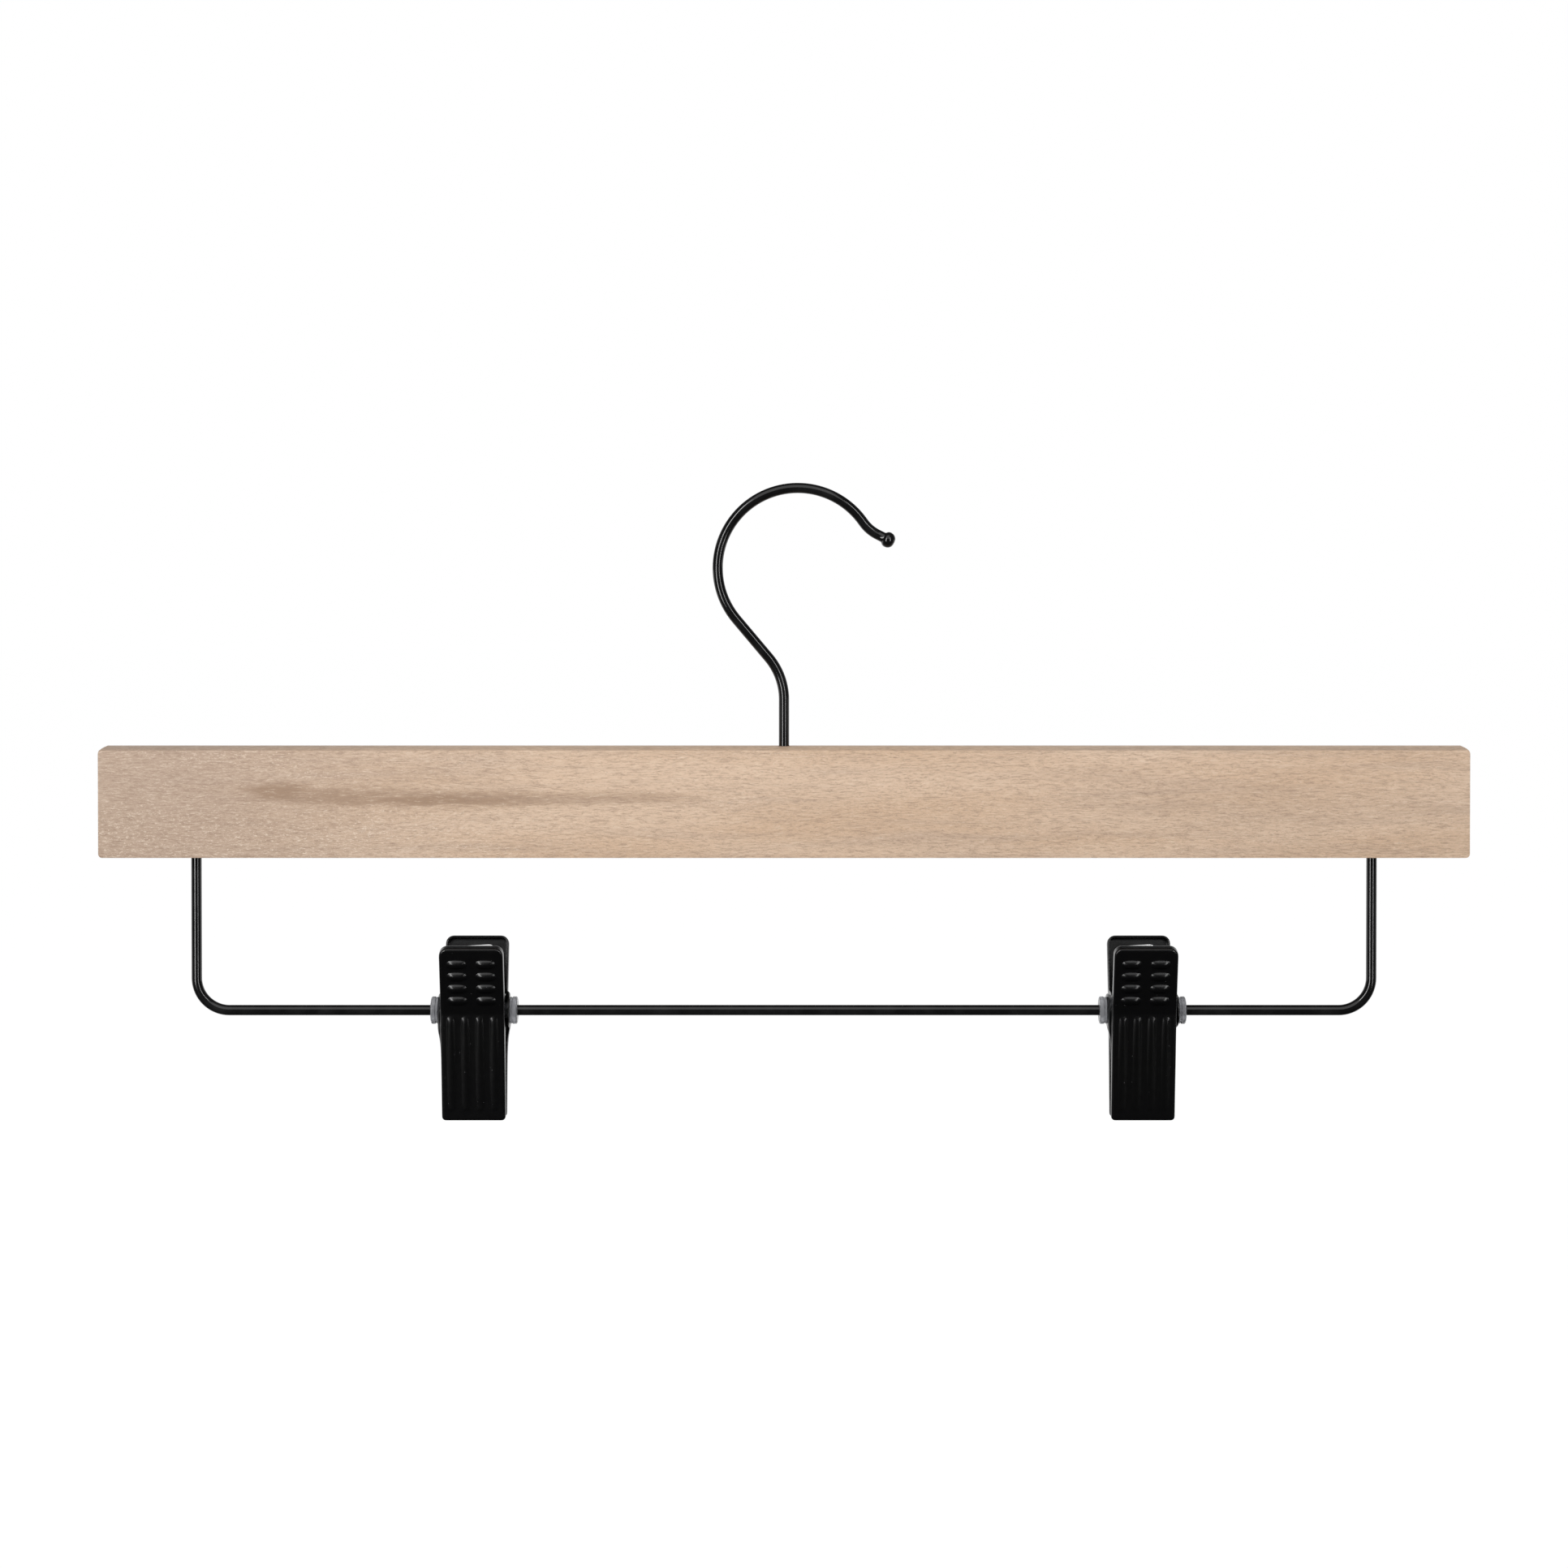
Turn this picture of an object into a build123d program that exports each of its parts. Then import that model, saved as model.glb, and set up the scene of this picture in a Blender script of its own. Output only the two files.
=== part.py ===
from build123d import *

import os
from math import acos, asin, atan2, cos, degrees, hypot, radians, sin, tan

# Trouser hanger: a flat wooden bar on a swivel wire hook, with a wire under it that carries two
# spring clips. Millimetres, +Z up, the front faces -Y. The origin is the rail seat, the highest
# point inside the hook, straight above which a wardrobe rail touches it.

# Wire
wire_r = 1.6
thread_r = 1.5

# Hook
hook_inner_r = 23.0
crown_offset = 4.2
neck_height = 21.6
neck_bend_r = 20.0
throat_angle = 35.0
tip_bend_r = 12.0
tip_drop = 27.0
tip_length = 4.6
tip_head_r = 2.45
tip_head_length = 3.6
tip_head_bevel = 1.1
hook_rise = 77.8

# Wooden bar
bar_length = 420.0
bar_height = 33.8
bar_thickness = 12.5
bar_crown = 1.0
bar_top_corner = 2.0
bar_bottom_corner = 1.2
bar_arris = 0.4

# Swivel fixing under the bar
washer_r = 4.5
washer_thickness = 0.8
nut_across_flats = 5.5
nut_height = 2.4
thread_end = 0.6
nut_recess = 0.5
nut_chamfer = 0.25
counterbore_r = 5.4
swivel_gap = 0.15
shank_clearance = 0.1
thread_fit = 0.03

# Wire bar
leg_inset = 29.0
wire_drop = 47.8
wire_bend_r = 10.0
leg_depth = 16.0
leg_fit = 0.05
leg_end_gap = 0.3

# Clips: two equal stampings on clear bushes, with a strip spring and two pads
left_clip_x = 95.4
right_clip_x = 110.4
clip_width = 19.6
handle_height = 20.8
jaw_height = 33.6
sheet = 0.8
handle_reach = 13.0
pivot_reach = 7.5
jaw_reach = 3.4
handle_flange = 3.2
pivot_flange = 3.8
jaw_flange = 1.7
top_corner = 2.4
jaw_corner = 1.2
rim_bevel = 0.7

# Grip ribs pressed out of the stampings
rib_height = 0.6
rib_taper = 35.0
grip_length = 6.4
grip_width = 2.5
grip_pitch = 4.0
grip_rows = 4
grip_column = 4.4
grip_top = 5.1
flute_width = 2.4
flute_pitch = 4.4
flutes = 4
flute_length = 30.3
flute_end = 3.1
rib_end_share = 0.3

# Ears and bushes
ear_r = 5.0
ear_above = 5.7
ear_below = 9.0
nest_gap = 0.4
sleeve_r = 2.4
ear_clearance = 0.1
bush_clearance = 0.05
bush_flange_r = 4.2
bush_flange = 2.2
bush_play = 0.1
bush_lip = 0.25
bush_lip_length = 0.6

# Strip spring
spring_width = 10.4
spring_strip = 0.5
spring_loop_gap = 0.5
spring_foot = 3.2
spring_below_top = 2.8
spring_gap = 0.08
spring_knee_r = 1.6

# Pads
pad_height = 13.0
pad_side_gap = 0.15
pad_gap = 0.3
pad_groove = 0.7
pad_grooves = 5

# One overrun for every cut
over = 2.0

# Heights and centres that follow
hook_r = hook_inner_r + wire_r
bar_x = -crown_offset
bar_top = -hook_rise
bar_bottom = bar_top - bar_height
leg_x = bar_length / 2 - leg_inset
wire_z = bar_bottom - wire_drop
washer_top = bar_bottom + nut_recess + thread_end + nut_height + washer_thickness
counterbore_top = washer_top + swivel_gap
shank_end = bar_bottom + nut_recess

# Hook route: shank, neck bend, straight tangent to the crown circle, throat, tip
crown_centre = Vector(0, -hook_inner_r)
neck_corner = Vector(bar_x, bar_top + neck_height)
to_crown = crown_centre - neck_corner
neck_angle = degrees(asin(hook_r / to_crown.length)) - degrees(atan2(to_crown.X, to_crown.Y))
neck_tangent = neck_bend_r * tan(radians(neck_angle / 2))
crown_start = 180 + neck_angle
crown_sweep = crown_start - throat_angle
tip_turn = 90 - throat_angle - tip_drop

os.makedirs("parts", exist_ok=True)

with BuildPart() as swivel_hook:
    with BuildLine(Plane.XZ) as hook_route:
        shank_line = Line((bar_x, washer_top), (bar_x, neck_corner.Y - neck_tangent))
        neck_arc = JernArc(shank_line @ 1, (0, 1), neck_bend_r, neck_angle)
        crown_foot = crown_centre + Vector(hook_r, 0).rotate(Axis.Z, crown_start)
        neck_line = Line(neck_arc @ 1, Plane.XZ.from_local_coords(crown_foot))
        crown_arc = JernArc(neck_line @ 1, neck_line % 1, hook_r, -crown_sweep)
        throat_arc = JernArc(crown_arc @ 1, crown_arc % 1, tip_bend_r, tip_turn)
        tip_line = Line(throat_arc @ 1, (throat_arc @ 1) + (throat_arc % 1) * tip_length)
    with BuildSketch(Plane(origin=shank_line @ 0, z_dir=shank_line % 0)):
        Circle(wire_r)
    sweep()
    with BuildSketch(Plane.XY.offset(shank_end)):
        with Locations((bar_x, 0)):
            Circle(thread_r)
    extrude(amount=washer_top - shank_end)
    # Upset head on the tip, like a rivet's
    with BuildSketch(Plane(origin=tip_line @ 1, x_dir=tip_line % 1, z_dir=Plane.XZ.z_dir)):
        head = Rectangle(tip_head_length, 2 * tip_head_r)
        chamfer(head.vertices(), tip_head_bevel)
        Rectangle(
            tip_head_length, tip_head_r, align=(Align.CENTER, Align.MAX), mode=Mode.SUBTRACT
        )
    revolve(axis=Axis(tip_line @ 1, tip_line % 1))
swivel_hook.part.label = "swivel_hook"
export_step(swivel_hook.part, "parts/swivel_hook.step")

with BuildPart() as hook_washer:
    with BuildSketch(Plane.XY.offset(washer_top - washer_thickness)):
        with Locations((bar_x, 0)):
            Circle(washer_r)
            Circle(thread_r + thread_fit, mode=Mode.SUBTRACT)
    extrude(amount=washer_thickness)
hook_washer.part.label = "hook_washer"
export_step(hook_washer.part, "parts/hook_washer.step")

with BuildPart() as hook_nut:
    with BuildSketch(Plane.XY.offset(washer_top - washer_thickness)):
        with Locations((bar_x, 0)):
            RegularPolygon(nut_across_flats / 2, side_count=6, major_radius=False)
    extrude(amount=-nut_height)
    chamfer(hook_nut.edges().group_by(Axis.Z)[0], nut_chamfer)
    with Locations((bar_x, 0, washer_top)):
        Cylinder(thread_r + thread_fit, 2 * (nut_height + over), mode=Mode.SUBTRACT)
hook_nut.part.label = "hook_nut"
export_step(hook_nut.part, "parts/hook_nut.step")

with BuildPart() as wooden_bar:
    side_y = bar_thickness / 2
    shoulder_z = bar_top - bar_crown
    with BuildSketch(Plane.YZ.offset(bar_x - bar_length / 2)):
        with BuildLine():
            ThreePointArc((-side_y, shoulder_z), (0, bar_top), (side_y, shoulder_z))
            Polyline(
                (side_y, shoulder_z),
                (side_y, bar_bottom),
                (-side_y, bar_bottom),
                (-side_y, shoulder_z),
            )
        make_face()
    extrude(amount=bar_length)
    with BuildSketch(Plane.XZ):
        with Locations((bar_x, bar_bottom + bar_height / 2)):
            bar_face = Rectangle(bar_length, bar_height)
        fillet(bar_face.vertices().group_by(Axis.Z)[-1], bar_top_corner)
        fillet(bar_face.vertices().group_by(Axis.Z)[0], bar_bottom_corner)
    extrude(amount=bar_thickness, both=True, mode=Mode.INTERSECT)
    wide_faces = wooden_bar.faces().filter_by(Axis.Y)
    chamfer(wide_faces.edges(), bar_arris)
    # Swivel bore with its counterbore, and a blind hole for each leg of the wire
    with Locations((bar_x, 0, bar_top)):
        Cylinder(wire_r + shank_clearance, 2 * (bar_height + over), mode=Mode.SUBTRACT)
    with BuildSketch(Plane.XY.offset(bar_bottom - over)):
        with Locations((bar_x, 0)):
            Circle(counterbore_r)
    extrude(amount=counterbore_top - bar_bottom + over, mode=Mode.SUBTRACT)
    with BuildSketch(Plane.XY.offset(bar_bottom - over)):
        with Locations((bar_x - leg_x, 0), (bar_x + leg_x, 0)):
            Circle(wire_r + leg_fit)
    extrude(amount=over + leg_depth + leg_end_gap, mode=Mode.SUBTRACT)
wooden_bar.part.label = "wooden_bar"
export_step(wooden_bar.part, "parts/wooden_bar.step")

with BuildPart() as wire_bar:
    leg_top = bar_bottom + leg_depth
    with BuildLine(Plane.XZ) as wire_route:
        FilletPolyline(
            (bar_x - leg_x, leg_top),
            (bar_x - leg_x, wire_z),
            (bar_x + leg_x, wire_z),
            (bar_x + leg_x, leg_top),
            radius=wire_bend_r,
        )
    with BuildSketch(Plane.XY.offset(leg_top)):
        with Locations((bar_x - leg_x, 0)):
            Circle(wire_r)
    sweep()
wire_bar.part.label = "wire_bar"
export_step(wire_bar.part, "parts/wire_bar.step")

# A clip is made about its own joint: the wire runs along X through the origin and the outer face
# of the front stamping looks to -Y. The handle leans out from the pivot and the jaw leans in.
handle_lean = degrees(atan2(handle_reach - pivot_reach, handle_height))
jaw_lean = degrees(atan2(pivot_reach - jaw_reach, jaw_height))
handle_up = Vector(0, 1).rotate(Axis.Z, handle_lean)
handle_in = Vector(1, 0).rotate(Axis.Z, handle_lean)
jaw_up = Vector(0, 1).rotate(Axis.Z, jaw_lean)
jaw_in = Vector(1, 0).rotate(Axis.Z, jaw_lean)
pivot_in = (handle_in + jaw_in) / (1 + cos(radians(handle_lean - jaw_lean)))
pivot_face = Vector(-pivot_reach, 0)
handle_run = hypot(handle_height, handle_reach - pivot_reach)
jaw_run = hypot(jaw_height, pivot_reach - jaw_reach)
handle_out = (0, -handle_in.X, -handle_in.Y)
jaw_out = (0, -jaw_in.X, -jaw_in.Y)
handle_plane = Plane(origin=(0, -pivot_reach, 0), x_dir=(1, 0, 0), z_dir=handle_out)
jaw_plane = Plane(origin=(0, -pivot_reach, 0), x_dir=(1, 0, 0), z_dir=jaw_out)
side_x = clip_width / 2
joggle = sheet + nest_gap


def side_form(handle_depth, pivot_depth, jaw_depth, skin=0):
    """Side view of the stamping, or of the tray that a skin leaves inside it."""
    high = handle_up * (handle_run - skin)
    low = jaw_up * (skin - jaw_run)
    with BuildSketch() as form:
        with BuildLine():
            Polyline(
                pivot_face + handle_in * skin + high,
                pivot_face + pivot_in * skin,
                pivot_face + jaw_in * skin + low,
                pivot_face + jaw_in * jaw_depth + low,
                pivot_face + pivot_in * pivot_depth,
                pivot_face + handle_in * handle_depth + high,
                close=True,
            )
        make_face()
    return form.sketch


def ear_outline(inset=0, tip=ear_r):
    """Side view of an ear: round about the wire and spreading to its root on the flange."""
    with BuildSketch() as ear:
        with BuildLine():
            CenterArc((0, 0), tip, 0, 360)
            Line(
                pivot_face + handle_in * pivot_flange / 2 + handle_up * (ear_above - inset),
                pivot_face + jaw_in * pivot_flange / 2 - jaw_up * (ear_below - inset),
            )
        make_hull()
    return ear.sketch


def grip_ribs(length, width):
    """Level ribs of the handle, or the channels behind them, in the sketch under way."""
    with Locations((0, handle_run - grip_top - (grip_rows - 1) * grip_pitch / 2)):
        with GridLocations(2 * grip_column, grip_pitch, 2, grip_rows):
            Rectangle(length, width)


def flute_ribs(width, length):
    """Upright ribs of the jaw, or the channels behind them, in the sketch under way."""
    with Locations((0, flute_end + flute_length / 2 - jaw_run)):
        with GridLocations(flute_pitch, 0, flutes, 1):
            Rectangle(width, length)


def corner_edges(block, face_plane):
    """Edges of a block that run square to one of the stamping's outer faces."""
    return block.edges().filter_by(Axis((0, 0, 0), face_plane.z_dir))


with BuildPart() as tray_cut:
    with BuildSketch(Plane.YZ.offset(sheet - side_x)):
        add(side_form(handle_flange + over, pivot_flange + over, jaw_flange + over, sheet))
    extrude(amount=clip_width - 2 * sheet)
    fillet(corner_edges(tray_cut, handle_plane), top_corner - sheet)
    fillet(corner_edges(tray_cut, jaw_plane), jaw_corner - sheet)

with BuildPart() as stamping:
    with BuildSketch(Plane.YZ.offset(-side_x)):
        add(side_form(handle_flange, pivot_flange, jaw_flange))
    extrude(amount=clip_width)
    fillet(corner_edges(stamping, handle_plane), top_corner)
    fillet(corner_edges(stamping, jaw_plane), jaw_corner)
    handle_face = stamping.faces().sort_by(Axis((0, 0, 0), handle_plane.z_dir))[-1]
    jaw_face = stamping.faces().filter_by(Axis((0, 0, 0), jaw_plane.z_dir)).sort_by(Axis.Y)[0]
    pivot_seam = handle_face.edges() & jaw_face.edges()
    rim_edges = (handle_face.edges() + jaw_face.edges()) - pivot_seam
    chamfer(rim_edges, rim_bevel)
    # Joggled ear on the left, standing out by one sheet so that the other stamping's ear nests
    with BuildSketch(Plane.YZ.offset(-side_x - joggle)):
        add(ear_outline())
        add(side_form(handle_flange, pivot_flange, jaw_flange), mode=Mode.INTERSECT)
    extrude(amount=joggle + sheet)
    add(tray_cut.part, mode=Mode.SUBTRACT)
    with BuildSketch(Plane.YZ.offset(-side_x + sheet)):
        add(ear_outline(sheet, ear_r + ear_clearance + nest_gap / 2))
    extrude(amount=-sheet - nest_gap, mode=Mode.SUBTRACT)
    with BuildSketch(Plane.YZ.offset(-side_x - joggle)):
        add(ear_outline())
    extrude(amount=sheet)
    # Flat ear on the right, in line with its flange
    with BuildSketch(Plane.YZ.offset(side_x - sheet)):
        add(ear_outline())
    extrude(amount=sheet)
    with BuildSketch(Plane.YZ):
        Circle(sleeve_r + ear_clearance)
    extrude(amount=clip_width, both=True, mode=Mode.SUBTRACT)
    # Ribs pressed outwards, with the channel that each leaves behind it
    with BuildSketch(handle_plane):
        grip_ribs(grip_length, grip_width)
        chamfer(vertices(), grip_width * rib_end_share)
    extrude(amount=rib_height, taper=rib_taper)
    with BuildSketch(handle_plane.offset(-sheet)):
        grip_ribs(grip_length - grip_width, grip_width - sheet)
    extrude(amount=rib_height, mode=Mode.SUBTRACT)
    with BuildSketch(jaw_plane):
        flute_ribs(flute_width, flute_length)
        chamfer(vertices(), flute_width * rib_end_share)
    extrude(amount=rib_height, taper=rib_taper)
    with BuildSketch(jaw_plane.offset(-sheet)):
        flute_ribs(flute_width - sheet, flute_length - flute_width)
    extrude(amount=rib_height, mode=Mode.SUBTRACT)

# Pads fill the jaws, so that they meet at their lower edges when the clip is shut
pad_width = clip_width - 2 * (sheet + pad_side_gap)
pad_foot = sheet + pad_side_gap - jaw_run
pad_middle = pad_foot + pad_height / 2
pad_reach = pivot_reach - pad_gap / 2 + pad_foot * sin(radians(jaw_lean))
pad_thickness = pad_reach / cos(radians(jaw_lean)) - sheet

with BuildPart() as jaw_pad:
    with BuildSketch(jaw_plane.offset(-sheet)):
        with Locations((0, pad_middle)):
            pad_face = Rectangle(pad_width, pad_height)
        fillet(pad_face.vertices(), jaw_corner - sheet)
    extrude(amount=-pad_thickness)
    with BuildSketch(jaw_plane.offset(-sheet - pad_thickness)):
        with Locations((0, pad_middle)):
            with GridLocations(0, pad_height / (pad_grooves + 1), 1, pad_grooves):
                Rectangle(clip_width, pad_groove)
    extrude(amount=pad_groove, mode=Mode.SUBTRACT)

# Strip spring: its feet press the handles apart and its bend hangs round the wire
loop_r = wire_r + spring_loop_gap + spring_strip / 2
foot_depth = sheet + spring_gap + spring_strip / 2
foot_tip = pivot_face + handle_in * foot_depth + handle_up * (handle_run - spring_below_top)
foot_knee = foot_tip - handle_up * spring_foot
loop_start = foot_knee.rotate(Axis.Z, degrees(acos(loop_r / foot_knee.length))).normalized() * loop_r

with BuildPart() as strip_spring:
    with BuildSketch(Plane.YZ.offset(-spring_width / 2)):
        with BuildLine() as strip_route:
            FilletPolyline(foot_tip, foot_knee, loop_start, radius=spring_knee_r)
            mirror(about=Plane.YZ)
            ThreePointArc(loop_start, (0, -loop_r), (-loop_start.X, loop_start.Y))
        trace(strip_route.line, spring_strip)
    extrude(amount=spring_width)

# Clear bush for the left end of a clip: the wire turns in it and both ears turn on its sleeve
ear_face = side_x + joggle
lip_start = side_x - sheet - bush_play

with BuildPart() as clear_bush:
    with BuildSketch(Plane.XY):
        with BuildLine():
            Polyline(
                (-ear_face - bush_play - bush_flange, wire_r + bush_clearance),
                (-ear_face - bush_play - bush_flange, bush_flange_r),
                (-ear_face - bush_play, bush_flange_r),
                (-ear_face - bush_play, sleeve_r),
                (-lip_start, sleeve_r),
                (-lip_start, sleeve_r + bush_lip),
                (-lip_start + bush_lip_length, sleeve_r),
                (-lip_start + bush_lip_length, wire_r + bush_clearance),
                close=True,
            )
        make_face()
    revolve(axis=Axis.X)

for side, clip_x in (("left", bar_x - left_clip_x), ("right", bar_x + right_clip_x)):
    seat = Location((clip_x, 0, wire_z))

    with BuildPart() as front_plate:
        with Locations(seat):
            add(stamping.part)
    front_plate.part.label = f"{side}_front_plate"
    export_step(front_plate.part, f"parts/{side}_front_plate.step")

    with BuildPart() as back_plate:
        with Locations(seat):
            add(stamping.part, rotation=(0, 0, 180))
    back_plate.part.label = f"{side}_back_plate"
    export_step(back_plate.part, f"parts/{side}_back_plate.step")

    with BuildPart() as front_pad:
        with Locations(seat):
            add(jaw_pad.part)
    front_pad.part.label = f"{side}_front_pad"
    export_step(front_pad.part, f"parts/{side}_front_pad.step")

    with BuildPart() as back_pad:
        with Locations(seat):
            add(jaw_pad.part, rotation=(0, 0, 180))
    back_pad.part.label = f"{side}_back_pad"
    export_step(back_pad.part, f"parts/{side}_back_pad.step")

    with BuildPart() as spring:
        with Locations(seat):
            add(strip_spring.part)
    spring.part.label = f"{side}_spring"
    export_step(spring.part, f"parts/{side}_spring.step")

    with BuildPart() as left_bush:
        with Locations(seat):
            add(clear_bush.part)
    left_bush.part.label = f"{side}_clip_left_bush"
    export_step(left_bush.part, f"parts/{side}_clip_left_bush.step")

    with BuildPart() as right_bush:
        with Locations(seat):
            add(clear_bush.part, rotation=(0, 0, 180))
    right_bush.part.label = f"{side}_clip_right_bush"
    export_step(right_bush.part, f"parts/{side}_clip_right_bush.step")
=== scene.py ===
"""Looks of a trouser hanger: a wooden bar on a swivel wire hook, and two spring clips on a wire under it."""

import logging
from collections.abc import Callable
from dataclasses import dataclass, field
from enum import Enum
from math import acos, asin, atan2, cos, degrees, hypot, radians, sin, tan

import bmesh
import bpy
from mathutils import Matrix, Vector


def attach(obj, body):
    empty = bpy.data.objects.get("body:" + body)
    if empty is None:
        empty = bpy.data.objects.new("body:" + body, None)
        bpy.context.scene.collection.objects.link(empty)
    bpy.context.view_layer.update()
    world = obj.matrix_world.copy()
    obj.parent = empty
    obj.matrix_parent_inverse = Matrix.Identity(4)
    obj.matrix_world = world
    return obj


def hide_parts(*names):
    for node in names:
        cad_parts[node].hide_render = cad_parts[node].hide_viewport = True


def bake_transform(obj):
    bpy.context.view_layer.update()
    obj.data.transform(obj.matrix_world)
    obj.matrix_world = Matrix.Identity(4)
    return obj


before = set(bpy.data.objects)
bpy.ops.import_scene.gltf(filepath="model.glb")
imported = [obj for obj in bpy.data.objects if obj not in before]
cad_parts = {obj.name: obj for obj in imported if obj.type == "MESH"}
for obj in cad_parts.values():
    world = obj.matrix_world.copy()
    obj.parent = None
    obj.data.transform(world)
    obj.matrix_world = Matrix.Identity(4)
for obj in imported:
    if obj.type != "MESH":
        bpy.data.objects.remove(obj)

LOG = logging.getLogger("trouser_hanger")
MM = 0.001
# Places closer than this are the same, and points closer than the second are merged
NEAR = 0.01 * MM
DOUBLED = 0.002 * MM
# How far the corners of a rib's square end come in to make it round
ROUND_END = 0.7071
# What several pieces share, in millimetres about the rail seat
WIRE_R = 1.6
SHANK_X = -4.2
LEG_X = (-185.2, 176.8)
WIRE_Z = -159.4

Pair = tuple[float, float]
Triple = tuple[float, float, float]
Colour = Triple
WHITE: Colour = (1.0, 1.0, 1.0)
Item = bmesh.types.BMVert | bmesh.types.BMEdge | bmesh.types.BMFace


class Select(Enum):
    """What a selection in edit mode is made of."""

    POINTS = "VERT"
    EDGES = "EDGE"
    FACES = "FACE"


class Side(Enum):
    """The two clips, by the side of the bar that each hangs on."""

    LEFT = "left"
    RIGHT = "right"


def mm(x: float, y: float, z: float) -> Vector:
    """A place given in millimetres, in metres."""
    return Vector((x, y, z)) * MM


def clear_selection() -> None:
    """Leave edit mode with nothing selected."""
    if bpy.context.mode != "OBJECT":
        bpy.ops.object.mode_set(mode="OBJECT")
    bpy.ops.object.select_all(action="DESELECT")


def make_active(piece: bpy.types.Object) -> None:
    """Select one piece alone and make it the active one."""
    clear_selection()
    piece.select_set(True)
    bpy.context.view_layer.objects.active = piece


def place_in_mesh(piece: bpy.types.Object) -> None:
    """Put a piece's place, turn and scale into its mesh."""
    make_active(piece)
    bpy.ops.object.transform_apply(location=True, rotation=True, scale=True)


def start_piece(
    name: str, primitive: Callable, scale: Vector | None = None, **settings: object
) -> bpy.types.Object:
    """Start a piece from a primitive, with its place in its mesh.

    Args:
        name: The piece's name.
        primitive: Blender's call that adds the primitive.
        scale: The piece's size along each axis, where it isn't round.
        settings: The primitive's own settings.

    Returns:
        The piece.
    """
    clear_selection()
    primitive(**settings)
    piece = bpy.context.object
    piece.name = piece.data.name = name
    if scale is not None:
        piece.scale = scale
    place_in_mesh(piece)
    return piece


def edit(piece: bpy.types.Object) -> None:
    """Open a piece in edit mode."""
    make_active(piece)
    bpy.ops.object.mode_set(mode="EDIT")


def middle(item: Item) -> Vector:
    """The middle of a point, an edge or a face."""
    if isinstance(item, bmesh.types.BMVert):
        return item.co
    return sum((v.co for v in item.verts), Vector()) / len(item.verts)


def choose(kind: Select, test: Callable[[Item], bool]) -> int:
    """Select what passes a test, in the piece that is open in edit mode.

    Args:
        kind: Whether points, edges or faces are tested.
        test: Says whether an item is wanted.

    Returns:
        How many items are now selected.
    """
    mesh = bpy.context.edit_object.data
    bpy.ops.mesh.select_mode(type=kind.value)
    bpy.ops.mesh.select_all(action="DESELECT")
    shape = bmesh.from_edit_mesh(mesh)
    items = {Select.POINTS: shape.verts, Select.EDGES: shape.edges, Select.FACES: shape.faces}[kind]
    wanted = [item for item in items if test(item)]
    for item in wanted:
        item.select_set(True)
    bmesh.update_edit_mesh(mesh)
    return len(wanted)


def push(step: Vector) -> None:
    """Extrude the selection by a step."""
    bpy.ops.mesh.extrude_region_move(TRANSFORM_OT_translate={"value": tuple(step)})


def apply_modifiers(piece: bpy.types.Object) -> None:
    """Apply every modifier of a piece, in order."""
    make_active(piece)
    for name in [modifier.name for modifier in piece.modifiers]:
        bpy.ops.object.modifier_apply(modifier=name)


def face_outwards(piece: bpy.types.Object) -> None:
    """Merge doubled points and turn all faces of a closed piece outwards."""
    edit(piece)
    bpy.ops.mesh.select_all(action="SELECT")
    bpy.ops.mesh.remove_doubles(threshold=DOUBLED)
    bpy.ops.mesh.normals_make_consistent(inside=False)
    clear_selection()


def smooth(piece: bpy.types.Object, angle: float) -> None:
    """Shade a piece smooth, apart from edges sharper than an angle in degrees."""
    make_active(piece)
    bpy.ops.object.shade_smooth_by_angle(angle=radians(angle))
    clear_selection()


def copy_of(piece: bpy.types.Object, name: str, turn: float, to: Vector) -> bpy.types.Object:
    """Copy a piece with a mesh of its own, turned about the upright axis and moved.

    Args:
        piece: The piece made about the clip's joint.
        name: The copy's name.
        turn: Degrees about the upright axis.
        to: Where the joint goes.

    Returns:
        The copy, with its place in its mesh.
    """
    made = piece.copy()
    made.data = piece.data.copy()
    made.name = made.data.name = name
    bpy.context.scene.collection.objects.link(made)
    made.data.transform(Matrix.Translation(to) @ Matrix.Rotation(radians(turn), 4, "Z"))
    return made


def ease_edges(piece: bpy.types.Object, width: float, steps: int, angle: float) -> None:
    """Round the sharp edges of a piece, after the modifiers that it already has.

    Args:
        piece: The piece.
        width: The rounding's width in millimetres.
        steps: How many facets the rounding has.
        angle: Edges sharper than this, in degrees, are rounded.
    """
    rounding = piece.modifiers.new("Ease", "BEVEL")
    rounding.width, rounding.segments = width * MM, steps
    rounding.limit_method, rounding.angle_limit = "ANGLE", radians(angle)
    apply_modifiers(piece)


def bore(
    piece: bpy.types.Object, at: Vector, radius: float, length: float, sides: int, tilt: float = 0.0
) -> None:
    """Drill a round hole through a piece.

    Args:
        piece: The piece.
        at: The middle of the drill, in metres.
        radius: The hole's radius in millimetres.
        length: The drill's length in millimetres.
        sides: How many sides the hole has.
        tilt: Degrees from upright, in the plane of the front.
    """
    tool = start_piece(
        "drill", bpy.ops.mesh.primitive_cylinder_add, vertices=sides, radius=radius * MM,
        depth=length * MM, location=at, rotation=(0, radians(tilt), 0),
    )
    knife = piece.modifiers.new("Cut", "BOOLEAN")
    knife.operation, knife.solver, knife.object = "DIFFERENCE", "EXACT", tool
    apply_modifiers(piece)
    bpy.data.objects.remove(tool, do_unlink=True)


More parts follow.
